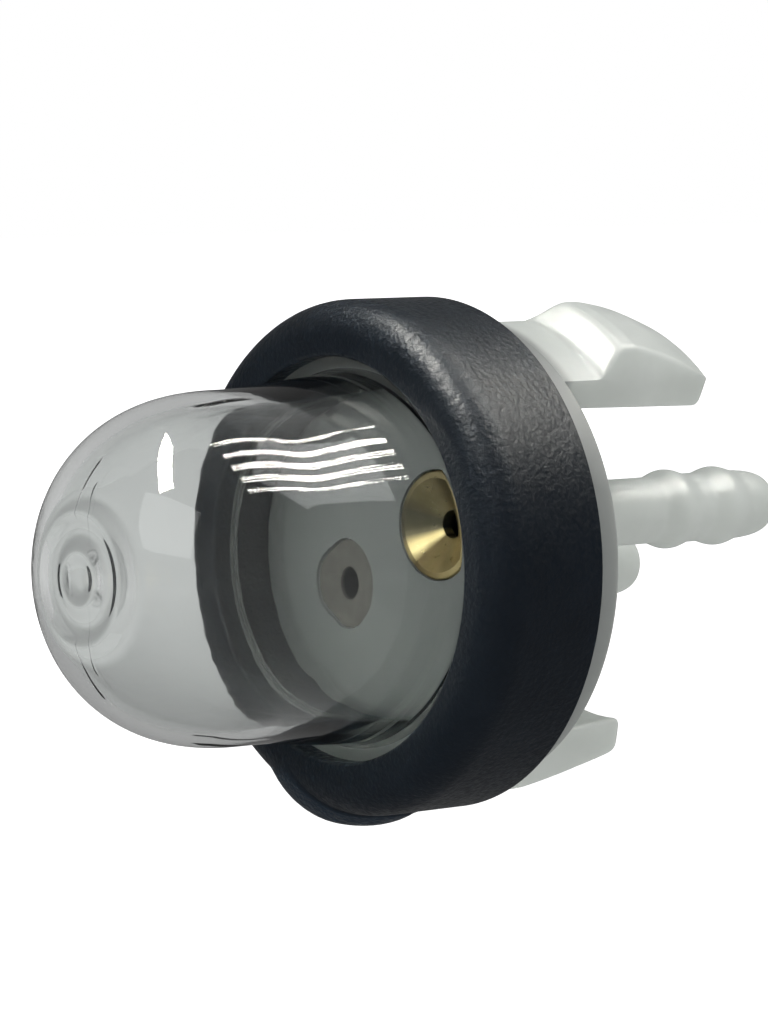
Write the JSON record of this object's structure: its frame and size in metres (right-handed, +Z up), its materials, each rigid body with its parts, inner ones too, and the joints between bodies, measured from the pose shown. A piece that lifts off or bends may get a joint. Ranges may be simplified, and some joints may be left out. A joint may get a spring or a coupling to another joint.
{
  "type": "primer bulb",
  "caption": "Snap-in fuel primer: clear squeeze bulb in a black retaining ring, on a white moulded body with snap legs and hose barbs.",
  "frame": {"origin": "on the pump's axis, in the plane of the ring's rear face, which seats on the panel", "axes": "+Y along the axis towards the hose barbs, -Y towards the bulb's tip, +Z up as in the picture"},
  "size_m": [0.022, 0.0354, 0.0228],
  "materials": {
    "clear_bulb": "clear glossy moulded plastic",
    "black_ring": "satin moulded plastic",
    "white_body": "translucent natural nylon, satin",
    "brass": "turned, bright",
    "black_rubber": "matt",
    "beige_rubber": "matt"
  },
  "bodies": {
    "root": {"primer_bulb": "clear_bulb", "retaining_ring": "black_ring", "pump_body": "white_body", "brass_insert": "brass", "inlet_valve": "black_rubber", "outlet_valve": "beige_rubber"}
  },
  "joints": []
}
